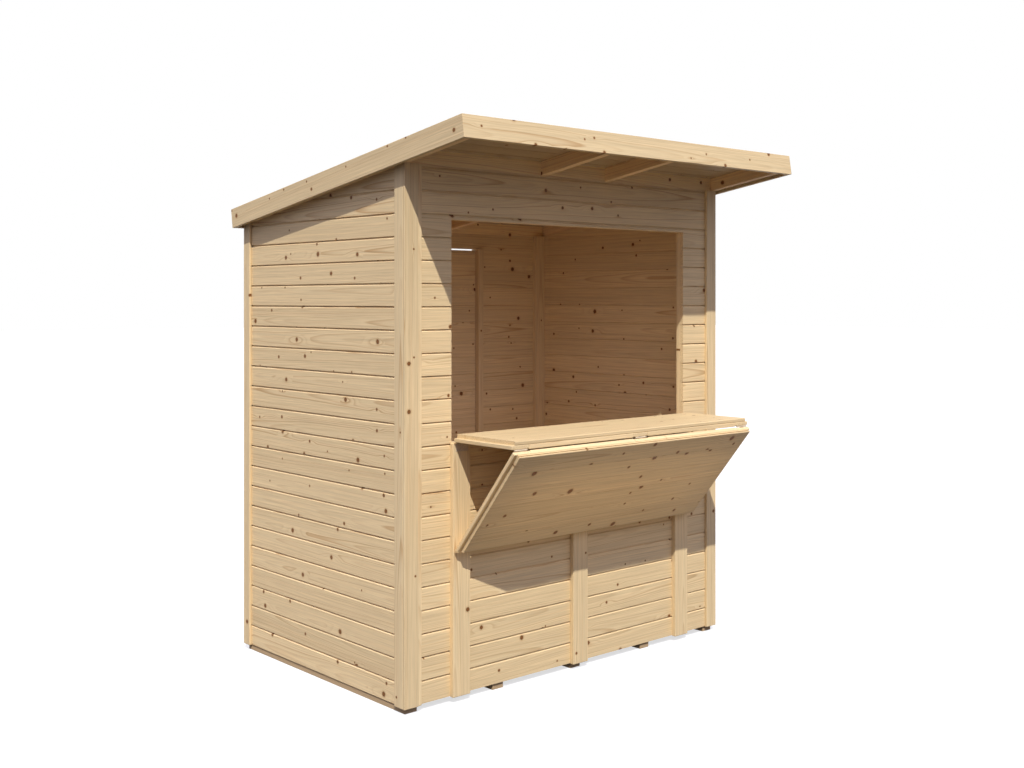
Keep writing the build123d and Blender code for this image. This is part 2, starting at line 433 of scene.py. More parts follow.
@dataclass(frozen=True)
class WoodFinish:
    """Planed softwood with growth rings, fibres and knots.

    It reads four marks that each timber carries: grain, its place in the log in metres with
    the pith along the first direction, tone, its lightness, partly its own and at some pieces
    painted light or painted shade, knots, the share of the places for knots that have one, and
    knot_size, which makes them larger.
    """

    slot: str
    pale: Colour = (0.803, 0.617, 0.350)
    late: Colour = (0.52, 0.31, 0.135)
    halo: Colour = (0.54, 0.29, 0.11)
    knot: Colour = (0.23, 0.095, 0.030)
    rim: Colour = (0.12, 0.045, 0.015)
    ring_spacing: float = 0.0036
    ring_strength: float = 0.95
    wander: float = 0.013
    taper: float = 0.011
    streaks: float = 0.44
    knot_run: float = 0.19
    knot_rise: float = 0.075
    knot_radius: float = 0.0088
    roughness: float = 0.55
    bump: float = 0.30
    grain_form: GrainForm = GrainForm()
    knot_form: KnotForm = KnotForm()

    def material(self) -> Material:
        """Builds the finish.

        Returns:
            The new material, named for its slot.
        """
        form = self.grain_form
        material, graph = new_material(self.slot)
        place = LogPlace(graph, *graph.split(graph.mark(Mark.GRAIN, "Vector")))
        span, bulge = self.knots(graph, place)
        rings = self.rings(graph, place, bulge)
        fibre = place.noise(form.fibre_cells, form.layers).outputs[0]
        streak = place.noise(form.streak_cells, form.layers).outputs[0]
        light = graph.math(
            "MULTIPLY",
            graph.math("MULTIPLY_ADD", fibre, form.fibre_swing, form.fibre_least),
            graph.math("MULTIPLY_ADD", streak, self.streaks, 1 - self.streaks / 2),
        )
        # The tone mark lightens or darkens each board: a little at random as its own tone, and at some pieces as
        # painted light or painted shade.
        light = graph.math("MULTIPLY", light, graph.mark(Mark.TONE))
        clear = graph.scaled(graph.mix(rings, self.pale, self.late), light)
        colour, rim = self.knotted(graph, clear, span)
        height = graph.math("MULTIPLY_ADD", rings, form.ring_relief, fibre)
        sink = graph.math("MULTIPLY", rim, self.knot_form.rim_sink)
        self.shade(graph, colour, rings, graph.math("SUBTRACT", height, sink))
        return material

    def knots(self, graph: ShaderGraph, place: LogPlace) -> tuple[NodeSocket, NodeSocket]:
        """Places knots in cells of the board's face.

        Args:
            graph: The material's nodes.
            place: Place in the log.

        Returns:
            Distance from the nearest knot in radii, and how far it pushes the rings out.
        """
        form = self.knot_form
        spot = graph.vector(
            graph.math("DIVIDE", place.along, self.knot_run),
            graph.math("DIVIDE", place.across, self.knot_rise),
            0.0,
        )
        cells = graph.node("ShaderNodeTexVoronoi", voronoi_dimensions="2D")
        graph.feed(cells.inputs["Vector"], spot)
        graph.feed(cells.inputs["Scale"], 1.0)
        middle_along, middle_across, _ = graph.split(cells.outputs["Position"])
        middle_along = graph.math("MULTIPLY", middle_along, self.knot_run)
        middle_across = graph.math("MULTIPLY", middle_across, self.knot_rise)
        run = graph.math("SUBTRACT", place.along, middle_along)
        rise = graph.math("SUBTRACT", place.across, middle_across)
        chance, size, _ = graph.split(cells.outputs["Color"])
        radius = self.radius(graph, chance, size)
        ragged = place.noise(form.ragged_cells, form.ragged_layers).outputs[0]
        uneven = graph.math("MULTIPLY_ADD", ragged, form.ragged, -form.ragged / 2)
        span = graph.math("ADD", graph.math("DIVIDE", graph.length(run, rise), radius), uneven)
        flow = graph.length(graph.math("MULTIPLY", run, form.squeeze), rise)
        near = graph.fall(graph.math("DIVIDE", flow, radius), 0.0, form.reach)
        bulge = graph.math("MULTIPLY", near, radius)
        return span, graph.math("MULTIPLY", bulge, form.push)

    def radius(self, graph: ShaderGraph, chance: NodeSocket, size: NodeSocket) -> NodeSocket:
        """Works out a knot's radius.

        Args:
            graph: The material's nodes.
            chance: Number from 0 to 1 that decides whether the knot is there.
            size: Number from 0 to 1 that decides how large it is.

        Returns:
            The radius in metres, next to nothing where there is no knot.
        """
        form = self.knot_form
        there = graph.math("LESS_THAN", chance, graph.mark(Mark.KNOTS))
        share = graph.math("POWER", size, form.rarity)
        share = graph.math("MULTIPLY_ADD", share, form.growth, form.least)
        whole = graph.math("MULTIPLY", graph.mark(Mark.KNOT_SIZE), self.knot_radius)
        return graph.math("MULTIPLY_ADD", graph.math("MULTIPLY", share, whole), there, TINY)

    def rings(self, graph: ShaderGraph, place: LogPlace, bulge: NodeSocket) -> NodeSocket:
        """Draws growth rings round a pith that wanders along the log.

        Args:
            graph: The material's nodes.
            place: Place in the log.
            bulge: How far a knot pushes the rings out.

        Returns:
            Share of late wood, from 0 to 1.
        """
        form = self.grain_form
        drift = place.noise(form.drift_cells, form.drift_layers)
        side, back, _ = graph.split(drift.outputs["Color"])
        side = graph.math("MULTIPLY_ADD", side, self.wander, -self.wander / 2)
        back = graph.math("MULTIPLY_ADD", back, self.wander, -self.wander / 2)
        across = graph.math("ADD", place.across, side)
        depth = graph.math("ADD", place.depth, back)
        radius = graph.math("ADD", graph.length(across, depth), bulge)
        radius = graph.math("MULTIPLY_ADD", place.along, self.taper, radius)
        phase = graph.math("DIVIDE", radius, self.ring_spacing)
        year = graph.node("ShaderNodeTexWhiteNoise", noise_dimensions="1D")
        graph.feed(year.inputs["W"], graph.math("FLOOR", phase))
        vigour = graph.math("POWER", year.outputs["Value"], form.vigour_power)
        vigour = graph.math("MULTIPLY_ADD", vigour, form.vigour_swing, form.vigour_least)
        late = graph.ramp(graph.math("FRACT", phase), form.late_curve)
        share = graph.math("MULTIPLY", late, vigour)
        return graph.math("MULTIPLY", share, self.ring_strength, clamp=True)

    def knotted(
        self, graph: ShaderGraph, clear: NodeSocket, span: NodeSocket
    ) -> tuple[NodeSocket, NodeSocket]:
        """Paints the knots over clear wood.

        Args:
            graph: The material's nodes.
            clear: Colour of the clear wood.
            span: Distance from the nearest knot in radii.

        Returns:
            The wood's colour, and the share of dark rim.
        """
        form = self.knot_form
        halo = graph.math("MULTIPLY", graph.fall(span, *form.halo), form.halo_share)
        rim = graph.math(
            "MULTIPLY",
            graph.step(span, *form.rim_inside),
            graph.fall(span, *form.rim_outside),
        )
        colour = graph.mix(halo, clear, self.halo)
        colour = graph.mix(graph.fall(span, *form.core), colour, self.knot)
        colour = graph.mix(graph.math("MULTIPLY", rim, form.rim_share), colour, self.rim)
        return colour, rim

    def shade(
        self, graph: ShaderGraph, colour: NodeSocket, rings: NodeSocket, height: NodeSocket
    ) -> None:
        """Joins the finish to its shader.

        Args:
            graph: The material's nodes.
            colour: The wood's colour.
            rings: Share of late wood, which is a little glossier.
            height: Relief of the planed face.
        """
        form = self.grain_form
        relief = graph.filled(
            "ShaderNodeBump",
            {"Strength": self.bump, "Distance": form.relief, "Height": height},
        )
        shader = graph.filled(
            "ShaderNodeBsdfPrincipled",
            {
                "Base Color": colour,
                "Roughness": graph.math("MULTIPLY_ADD", rings, -form.late_gloss, self.roughness),
                "Specular IOR Level": form.shine,
                "Normal": relief.outputs[0],
            },
        )
        graph.output("ShaderNodeOutputMaterial", shader.outputs[0])


@dataclass(frozen=True)
class SteelFinish:
    """Zinc-plated steel with faint spangles and a warm tint."""

    slot: str
    dull: Colour = (0.56, 0.45, 0.31)
    bright: Colour = (0.66, 0.55, 0.40)
    spangles: float = 260.0
    wear: float = 0.2
    wear_cells: float = 1040.0
    wear_layers: float = 3.0
    roughness: float = 0.6
    metallic: float = 0.15
    shine: float = 0.15

    def material(self) -> Material:
        """Builds the finish.

        Returns:
            The new material, named for its slot.
        """
        material, graph = new_material(self.slot)
        place = graph.node("ShaderNodeTexCoord").outputs["Object"]
        cells = graph.filled(
            "ShaderNodeTexVoronoi",
            {"Vector": graph.scaled(place, self.spangles), "Scale": 1.0},
        )
        spangle, _, _ = graph.split(cells.outputs["Color"])
        wear = graph.noise(graph.scaled(place, self.wear_cells), self.wear_layers).outputs[0]
        least = self.roughness - self.wear / 2
        shader = graph.filled(
            "ShaderNodeBsdfPrincipled",
            {
                "Base Color": graph.mix(spangle, self.dull, self.bright),
                "Metallic": self.metallic,
                "Specular IOR Level": self.shine,
                "Roughness": graph.math("MULTIPLY_ADD", wear, self.wear, least),
            },
        )
        graph.output("ShaderNodeOutputMaterial", shader.outputs[0])
        return material


class Finishes:
    """The stall's finishes, each made once."""

    def __init__(self) -> None:
        """Names the finishes for the record's slots."""
        kinds = (
            WoodFinish("spruce_boards"),
            WoodFinish(
                "spruce_trim",
                pale=(0.772, 0.598, 0.344),
                ring_strength=0.9,
                streaks=0.4,
                knot_run=0.22,
            ),
            WoodFinish("spruce_roof", pale=(0.74, 0.55, 0.32)),
            WoodFinish("spruce_floor", pale=(0.72, 0.54, 0.32)),
            WoodFinish(
                "bearer_timber",
                pale=(0.52, 0.37, 0.21),
                late=(0.36, 0.22, 0.11),
                roughness=0.75,
                bump=0.6,
            ),
            SteelFinish("hinge_steel"),
        )
        self.materials = {kind.slot: kind.material() for kind in kinds}
        parts = frame["record"]["subparts"]
        self.slots = {part["node"]: part["material_slot"] for part in parts}

    def of_node(self, node: str) -> Material:
        """Material of a node's slot."""
        return self.materials[self.slots[node]]


@dataclass(frozen=True)
class Lie:
    """How a timber lies: where it is measured from and which way its grain runs."""

    origin: Vector
    along: Vector
    across: Vector
    depth: Vector

    def place(self, along: float, across: float, depth: float) -> Vector:
        """Point at these distances from the origin."""
        return self.origin + self.along * along + self.across * across + self.depth * depth

    def measure(self, point: Vector) -> Vector:
        """Distances of a point along, across and through the timber."""
        away = point - self.origin
        return Vector((away.dot(self.along), away.dot(self.across), away.dot(self.depth)))

    def moved(self, along: float, across: float, depth: float) -> "Lie":
        """The same lie measured from another point."""
        return Lie(self.place(along, across, depth), self.along, self.across, self.depth)


@dataclass(frozen=True)
class Cut:
    """A saw cut: what lies beyond the plane on the away side is waste."""

    point: Vector
    away: Vector


@dataclass
class Solid:
    """One solid of a node of the frame."""

    corners: list[Vector]
    faces: list[list[int]]

    def extent(self, lie: Lie) -> tuple[Vector, Vector]:
        """Measures the solid.

        Args:
            lie: The directions to measure in.

        Returns:
            Its least and greatest distances.
        """
        places = [lie.measure(corner) for corner in self.corners]
        low = Vector([min(p[i] for p in places) for i in range(3)])
        high = Vector([max(p[i] for p in places) for i in range(3)])
        return low, high

    def middle(self) -> Vector:
        """Middle of the solid's box."""
        low, high = self.extent(WORLD)
        return (low + high) / 2

    def lie_in(self, axes: Lie) -> Lie:
        """Finds how a timber lies, with its grain along its greatest length.

        Args:
            axes: Directions that its faces follow.

        Returns:
            The lie, measured from the timber's middle.
        """
        low, high = self.extent(axes)
        size = high - low
        order = sorted(range(3), key=lambda index: -size[index])
        directions = (axes.along, axes.across, axes.depth)
        along, across, depth = (directions[index] for index in order)
        return Lie(axes.place(*((low + high) / 2)), along, across, depth)

    def mesh(self) -> BMesh:
        """The solid as a mesh of whole faces.

        Returns:
            A new mesh.
        """
        made = bmesh.new()
        verts = [made.verts.new(corner) for corner in self.corners]
        for face in self.faces:
            made.faces.new([verts[index] for index in face])
        bmesh.ops.recalc_face_normals(made, faces=made.faces[:])
        made.normal_update()
        flat = [edge for edge in made.edges if edge.calc_face_angle(0.0) < FLAT_ANGLE]
        bmesh.ops.dissolve_edges(made, edges=flat)
        return made


WORLD = Lie(Vector(), X, Y, Z)


def solids_of(node: str) -> list[Solid]:
    """Reads a node's solids from the frame.

    Args:
        node: The node's name.

    Returns:
        Its solids, from left to right and front to back.
    """
    joined = bmesh.new()
    joined.from_mesh(frame["nodes"][node].data)
    bmesh.ops.remove_doubles(joined, verts=joined.verts[:], dist=TINY)
    taken = set()
    solids = []
    for first in joined.verts:
        if first in taken:
            continue
        taken.add(first)
        reached = [first]
        for vert in reached:
            beside = [edge.other_vert(vert) for edge in vert.link_edges]
            fresh = [other for other in beside if other not in taken]
            taken.update(fresh)
            reached.extend(fresh)
        numbers = {vert: index for index, vert in enumerate(reached)}
        faces = {face for vert in reached for face in vert.link_faces}
        loops = sorted([numbers[vert] for vert in face.verts] for face in faces)
        solids.append(Solid([vert.co.copy() for vert in reached], loops))
    joined.free()
    return sorted(solids, key=lambda solid: [round(v, SORT_DIGITS) for v in solid.middle()])


def trim_mesh(part: BMesh, cut: Cut) -> None:
    """Cuts the waste off a closed mesh and closes the cut.

    Args:
        part: The mesh, changed in place.
        cut: Where it is cut.
    """
    geometry = [*part.verts, *part.edges, *part.faces]
    bmesh.ops.bisect_plane(
        part, geom=geometry, dist=TINY, plane_co=cut.point, plane_no=cut.away, clear_outer=True
    )
    rims = [edge for edge in part.edges if edge.is_boundary]
    if rims:
        bmesh.ops.holes_fill(part, edges=rims, sides=0)


def placed(name: str, data: bpy.types.ID) -> Object:
    """Adds an object to the scene.

    Args:
        name: The object's name.
        data: Its mesh, light or camera.

    Returns:
        The new object.
    """
    made = bpy.data.objects.new(name, data)
    bpy.context.scene.collection.objects.link(made)
    return made


def close_rings(made: BMesh, rings: Sequence[Sequence[BMVert]]) -> None:
    """Joins a row of rings into a closed skin, with its faces turned outwards.

    Args:
        made: The mesh that holds the rings' corners.
        rings: The rings, each with the same number of corners.
    """
    made.faces.new(rings[0])
    made.faces.new(rings[-1])
    for first, second in zip(rings, rings[1:]):
        for index, corner in enumerate(first):
            after = (index + 1) % len(first)
            made.faces.new((corner, first[after], second[after], second[index]))
    bmesh.ops.recalc_face_normals(made, faces=made.faces[:])


def circle(radius: float, segments: int) -> list[Pair]:
    """Spreads points round a circle.

    Args:
        radius: The circle's radius.
        segments: How many points it has.

    Returns:
        The points' two distances from its middle.
    """
    angles = [2 * math.pi / segments * index for index in range(segments)]
    return [(radius * math.cos(angle), radius * math.sin(angle)) for angle in angles]


@dataclass(frozen=True)
class LogShare:
    """Where boards are taken from in a log, and how much their lightness differs."""

    run: float = 40.0
    side: float = 0.075
    near: float = 0.028
    far: float = 0.11
    tone_spread: float = 0.035
    tone_limit: float = 2.0


@dataclass(frozen=True)
class Grade:
    """How timber is picked: the share of places with a knot and its knots' size, and a lightness that some pieces
    use for painted light or painted shade.
    """

    knots: float = 0.45
    tone: float = 1.0
    knot_size: float = 1.0


PLAIN = Grade()
CLEAR = Grade(knots=0.25)


class TimberMesh:
    """One piece's mesh, which gathers boards and timbers with their grain."""

    log = LogShare()

    def __init__(self, name: str, grade: Grade = PLAIN) -> None:
        """Starts an empty mesh.

        Args:
            name: The piece's name.
            grade: How its timber is picked, with a lightness that at some pieces is painted light or painted
                shade.
        """
        self.name = name
        self.grade = grade
        self.mesh = bmesh.new()
        layers = self.mesh.verts.layers
        self.grain = layers.float_vector.new(Mark.GRAIN.value)
        self.tone = layers.float.new(Mark.TONE.value)
        self.knots = layers.float.new(Mark.KNOTS.value)
        self.knot_size = layers.float.new(Mark.KNOT_SIZE.value)

    def add(self, part: BMesh, lie: Lie, key: str) -> None:
        """Takes in one timber.

        Args:
            part: The timber's closed mesh, freed afterwards.
            lie: Its grain, measured from its middle.
            key: Seed of its place in the log, the same for lengths of one board.
        """
        chance = random.Random(key)
        shift = Vector(
            (
                chance.uniform(0, self.log.run),
                chance.uniform(-self.log.side, self.log.side),
                chance.choice((-1, 1)) * chance.uniform(self.log.near, self.log.far),
            )
        )
        limit = self.log.tone_limit
        swing = max(-limit, min(limit, chance.gauss(0, 1))) * self.log.tone_spread
        # The grade's tone is painted light or painted shade at some pieces; the swing is each board's own
        # lightness.
        tone = self.grade.tone * (1 + swing)
        copies = {}
        for vert in part.verts:
            copy = self.mesh.verts.new(vert.co)
            copy[self.grain] = lie.measure(vert.co) + shift
            copy[self.tone] = tone
            copy[self.knots] = self.grade.knots
            copy[self.knot_size] = self.grade.knot_size
            copies[vert] = copy
        for face in part.faces:
            self.mesh.faces.new([copies[vert] for vert in face.verts])
        part.free()

    def piece(self, finishes: Finishes, body: Body, node: str) -> Object:
        """Makes the piece that stands for a node.

        Args:
            finishes: The stall's finishes.
            body: The body that it rides on.
            node: The node that it replaces.

        Returns:
            The new object.
        """
        data = bpy.data.meshes.new(self.name)
        self.mesh.to_mesh(data)
        self.mesh.free()
        data.materials.append(finishes.of_node(node))
        made = placed(self.name, data)
        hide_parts(node)
        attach(made, body.value)
        LOG.info("%s: %d faces on %s", self.name, len(data.polygons), body.value)
        return made


@dataclass(frozen=True)
class BoardProfile:
    """Section of a tongue and groove board, its face side at depth 0."""

    joint: Joint
    thickness: float = 0.019
    cover: float = 0.094
    groove_over: float = 0.0030
    groove_under: float = 0.0068
    groove_depth: float = 0.0050
    slot_half: float = 0.0024
    fine_half: float = 0.0017
    tongue: float = 0.0055
    tongue_shares: Pair = (0.42, 0.66)
    play: float = 0.0003

    def outline(self) -> list[Pair]:
        """Works out the section.

        Returns:
            Points across and through the board, measured from its middle and its face.
        """
        half = self.cover / 2
        top, bottom = half, -half
        fine, slot, play = self.fine_half, self.slot_half, self.play
        over, under, sink = fine, fine, fine
        if self.joint is Joint.V_GROOVE:
            over, under, sink = self.groove_over, self.groove_under, self.groove_depth
        else:
            slot = play
        near, far = (share * self.thickness for share in self.tongue_shares)
        back = self.thickness
        return [
            (bottom + over, 0.0),
            (top - under, 0.0),
            (top - slot, sink),
            (top - slot, near),
            (top + self.tongue, near),
            (top + self.tongue, far),
            (top - play, far),
            (top - play, back - fine),
            (top - play - fine, back),
            (bottom + play + fine, back),
            (bottom + play, back - fine),
            (bottom + play, far + play),
            (bottom + self.tongue + play, far + play),
            (bottom + self.tongue + play, near - play),
            (bottom + slot, near - play),
            (bottom + slot, sink),
        ]


def extruded(outline: Sequence[Pair], lie: Lie, start: float, end: float) -> BMesh:
    """Draws a section out along the grain.

    Args:
        outline: Points across and through the board.
        lie: How the board lies.
        start: Where it begins along the grain.
        end: Where it ends.

    Returns:
        A new closed mesh.
    """
    made = bmesh.new()
    rings = [
        [made.verts.new(lie.place(run, across, depth)) for across, depth in outline]
        for run in (start, end)
    ]
    close_rings(made, rings)
    return made


@dataclass(frozen=True)
class Boarding:
    """Boards laid side by side where the frame has a slab."""

    profile: BoardProfile

    def lay(
        self,
        mesh: TimberMesh,
        slab: Solid,
        lie: Lie,
        key: str,
        cuts: Sequence[Cut] = (),
        over: float = 0.0,
    ) -> None:
        """Boards one slab.

        Args:
            mesh: Takes in the boards.
            slab: The frame's solid.
            lie: Directions of the boards, measured from the lower edge of board 0.
            key: Name that seeds the boards, each with its number.
            cuts: Cuts besides the slab's own lower and upper edges.
            over: How far the boards pass the slab's upper edge.
        """
        low, high = slab.extent(lie)
        top = high.y + over
        cover = self.profile.cover
        outline = self.profile.outline()
        edges = (
            Cut(lie.place(0, low.y, 0), -lie.across),
            Cut(lie.place(0, top, 0), lie.across),
        )
        for row in range(math.floor(low.y / cover + TINY), math.ceil(top / cover - TINY)):
            seat = lie.moved(0, (row + 0.5) * cover, 0)
            part = extruded(outline, seat, low.x, high.x)
            for cut in (*edges, *cuts):
                trim_mesh(part, cut)
            if part.faces:
                mesh.add(part, seat, f"{key} {row}")
            else:
                part.free()


def softened(solid: Solid, radius: float, segments: int = 3) -> BMesh:
    """Rounds the edges of a planed timber.

    Args:
        solid: The frame's solid.
        radius: How far the rounding reaches over each face.
        segments: Facets of the rounding.

    Returns:
        A new closed mesh.
    """
    made = solid.mesh()
    bmesh.ops.bevel(
        made,
        geom=made.edges[:],
        offset=radius,
        offset_type="OFFSET",
        segments=segments,
        profile=ROUND_PROFILE,
        affect="EDGES",
        clamp_overlap=True,
    )
    bmesh.ops.recalc_face_normals(made, faces=made.faces[:])
    return made


def plane_timbers(
    finishes: Finishes,
    body: Body,
    axes: Lie,
    radius: float,
    nodes: Iterable[str],
    grade: Grade = CLEAR,
) -> None:
    """Makes planed timbers from the solids of some nodes, one piece for each node.

    Args:
        finishes: The stall's finishes.
        body: The body that they ride on.
        axes: Directions that their faces follow.
        radius: Rounding of their edges.
        nodes: The nodes that they replace.
        grade: How their timber is picked, and its lightness, which for the rafters is painted light.
    """
    for node in nodes:
        mesh = TimberMesh(f"{node}_wood", grade)
        for index, solid in enumerate(solids_of(node)):
            mesh.add(softened(solid, radius), solid.lie_in(axes), f"{node} {index}")
        mesh.piece(finishes, body, node)


@dataclass
class Floor:
    """Bearers on the ground, the floor on them and the threshold under the door."""

    finishes: Finishes
    edge: float = 0.0012
    profile: BoardProfile = BoardProfile(Joint.FINE, thickness=0.018, cover=0.115)

    def build(self) -> None:
        """Makes the bearers, the floor boards and the threshold."""
        plane_timbers(self.finishes, Body.STALL, WORLD, self.edge, ("floor_bearers",))
        plane_timbers(self.finishes, Body.STALL, WORLD, self.edge, ("door_threshold",))
        low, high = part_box("floor")
        lie = Lie(Vector((0, low.y, high.z)), X, Y, -Z)
        mesh = TimberMesh("floor_wood")
        Boarding(self.profile).lay(mesh, solids_of("floor")[0], lie, "floor")
        mesh.piece(self.finishes, Body.STALL, "floor")


@dataclass
class Walls:
    """Level boards of the four walls, and the boards between the rafters over them."""

    finishes: Finishes
    boarding: Boarding = Boarding(BoardProfile(Joint.V_GROOVE))
    # The infill boards between the rafters are painted lighter, a painted light for light thrown up under the
    # roof.
    infill_grade_painted_light: Grade = Grade(tone=1.18)
    foot: float = field(init=False)
    eaves: Lie = field(init=False)

    def __post_init__(self) -> None:
        """Finds the boards' foot and the plane of the rafters' undersides."""
        self.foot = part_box("front_wall_left")[0].z
        self.eaves = roof_lie()

    def build(self) -> None:
        """Boards every wall and the gaps between the rafters."""
        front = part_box("front_wall_left")[0].y
        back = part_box("back_wall_left")[1].y
        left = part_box("left_wall")[0].x
        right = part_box("right_wall")[1].x
        front_lie = Lie(Vector((0, front, self.foot)), X, Z, Y)
        back_lie = Lie(Vector((0, back, self.foot)), X, Z, -Y)
        left_lie = Lie(Vector((left, 0, self.foot)), Y, Z, X)
        right_lie = Lie(Vector((right, 0, self.foot)), Y, Z, -X)
        under = Cut(self.eaves.origin, self.eaves.depth)
        over = Cut(self.eaves.origin, -self.eaves.depth)
        deck = Cut(self.eaves.place(0, 0, self.eaves.measure(deck_corner()).z), self.eaves.depth)
        self.board("left_wall", left_lie, "left", (under,))
        self.board("right_wall", right_lie, "right", (under,))
        for part in ("left", "right", "below_hatch", "over_hatch"):
            self.board(f"front_wall_{part}", front_lie, "front", (under,))
        for part in ("left", "right", "over_door"):
            self.board(f"back_wall_{part}", back_lie, "back", (under,))
        self.board("front_infill", front_lie, "front", (over, deck), self.infill_grade_painted_light)
        self.board("back_infill", back_lie, "back", (over, deck), self.infill_grade_painted_light)

    def board(
        self, node: str, lie: Lie, key: str, cuts: Sequence[Cut], grade: Grade = PLAIN
    ) -> None:
        """Boards one node.

        Args:
            node: The node that the boards replace.
            lie: Directions of the boards.
            key: Name that seeds the wall's boards.
            cuts: Where the roof cuts them.
            grade: How they are picked, and their lightness, which for the infill boards is painted light.
        """
        mesh = TimberMesh(f"{node}_wood", grade)
        for slab in solids_of(node):
            self.boarding.lay(mesh, slab, lie, key, cuts)
        mesh.piece(self.finishes, Body.STALL, node)


def roof_lie() -> Lie:
    """Finds the roof's slope from the walls under it.

    Returns:
        Directions across, down and square to the slope, from the front wall's upper edge.
    """
    front_low, front_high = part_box("front_wall_left")
    left_low, left_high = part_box("left_wall")
    back_low, back_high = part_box("back_wall_left")
    fall = (left_high.z - back_high.z) / (back_low.y - left_low.y)
    down = Vector((0, 1, -fall)).normalized()
    return Lie(Vector((0, front_low.y, front_high.z)), X, down, X.cross(down))


def deck_corner() -> Vector:
    """Finds where the roof deck begins.

    Returns:
        A corner of its underside, at its front edge.
    """
    axes = roof_lie()
    low, _ = solids_of("roof_deck")[0].extent(axes)
    return axes.place(*low)


@dataclass
class Roof:
    """Rafters, the deck boards on them and the fascia boards round them."""

    finishes: Finishes
    rafter_edge: float = 0.0015
    fascia_edge: float = 0.0012
    fascia_grade: Grade = Grade(knots=0.85, tone=0.93)
    # The rafters are painted lighter, a painted light for light thrown up onto them from below.
    rafter_grade_painted_light: Grade = Grade(knots=0.3, tone=1.28)
    # The deck boards are painted darker, a painted shade for the deep shade under the roof.
    deck_grade_painted_shade: Grade = Grade(knots=0.3, tone=0.70)
    profile: BoardProfile = BoardProfile(
        Joint.V_GROOVE, groove_over=0.0022, groove_under=0.0022, groove_depth=0.0025
    )

    def build(self) -> None:
        """Makes the roof's timbers and boards."""
        axes = roof_lie()
        plane_timbers(
            self.finishes, Body.STALL, axes, self.rafter_edge, ("rafters",), self.rafter_grade_painted_light
        )
        fascias = [f"{side}_fascia" for side in ("front", "right", "back", "left")]
        plane_timbers(
            self.finishes, Body.STALL, axes, self.fascia_edge, fascias, self.fascia_grade
        )
        corner = deck_corner()
        lie = Lie(Vector((0, corner.y, corner.z)), axes.along, axes.across, axes.depth)
        mesh = TimberMesh("roof_deck_wood", self.deck_grade_painted_shade)
        Boarding(self.profile).lay(mesh, solids_of("roof_deck")[0], lie, "deck")
        mesh.piece(self.finishes, Body.STALL, "roof_deck")


@dataclass
class Trims:
    """Corner trims, posts, and the battens and linings inside the walls."""

    finishes: Finishes
    outer_edge: float = 0.0025
    inner_edge: float = 0.0015
    post_grade: Grade = Grade(knots=0.16)

    def build(self) -> None:
        """Makes the trims outside and the battens inside."""
        outside = (
            "front_corner_trims",
            "back_corner_trims",
            "side_corner_trims",
            "corner_cover_strip",
        )
        posts = ("front_posts", "door_posts")
        inside = ("corner_battens", "hatch_jambs", "hatch_head", "hatch_sill", "door_jambs")
        plane_timbers(self.finishes, Body.STALL, WORLD, self.outer_edge, outside)
        plane_timbers(self.finishes, Body.STALL, WORLD, self.outer_edge, posts, self.post_grade)
        plane_timbers(self.finishes, Body.STALL, WORLD, self.inner_edge, inside)


def hinge(name: str) -> tuple[Vector, float]:
    """Looks up a hinge of the record.

    Args:
        name: The joint's name.

    Returns:
        A point on its pin and its greatest angle in degrees.
    """
    joint = next(joint for joint in frame["joints"] if joint["name"] == name)
    return Vector(joint["pos_m"]), joint["range_deg"][1]


@dataclass(frozen=True)
class HingeScrews:
    """Countersunk screws in the plates of a row of butt hinges."""

    radius: float = 0.0033
    rise: float = 0.00035
    socket_share: float = 0.5
    socket_depth: float = 0.0003
    lip_share: float = 0.8
    floor_share: float = 0.4
    segments: int = 16
    plate_face: float = 0.002
    spots: tuple[Pair, ...] = ((-0.022, 0.026), (0.0, 0.015), (0.022, 0.026))

    def build(self, name: str, pins: Iterable[Lie], body: Body, finishes: Finishes) -> None:
        """Makes the screws of one row of plates.

        Args:
            name: The piece's name.
            pins: For each hinge, its pin's middle, the pin's direction, the plate's direction
                from the pin, and the way from the plate into the wood.
            body: The body that they ride on.
            finishes: The stall's finishes.
        """
        made = bmesh.new()
        for pin in pins:
            for run, reach in self.spots:
                self.head(made, pin.moved(run, reach, self.plate_face))
        data = bpy.data.meshes.new(name)
        made.to_mesh(data)
        made.free()
        data.materials.append(finishes.materials["hinge_steel"])
        piece = placed(name, data)
        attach(piece, body.value)
        LOG.info("%s: %d faces on %s", name, len(data.polygons), body.value)

    def head(self, made: BMesh, seat: Lie) -> None:
        """Adds one head.

        Args:
            made: Takes in the head.
            seat: Its middle on the plate, with depth into the wood.
        """
        sections = (
            (1.0, self.rise),
            (1.0, 0.0),
            (self.lip_share, -self.rise),
            (self.socket_share, -self.rise),
            (self.floor_share, self.socket_depth),
        )
        rings = []
        for share, depth in sections:
            spots = circle(self.radius * share, self.segments)
            rings.append([made.verts.new(seat.place(*spot, depth)) for spot in spots])
        close_rings(made, rings)


def dress_steel(finishes: Finishes, nodes: Iterable[str]) -> None:
    """Gives hinge nodes of the frame their steel.

    Args:
        finishes: The stall's finishes.
        nodes: The hinge nodes.
    """
    for node in nodes:
        data = frame["nodes"][node].data
        data.materials.clear()
        data.materials.append(finishes.of_node(node))
        LOG.info("%s: steel", node)


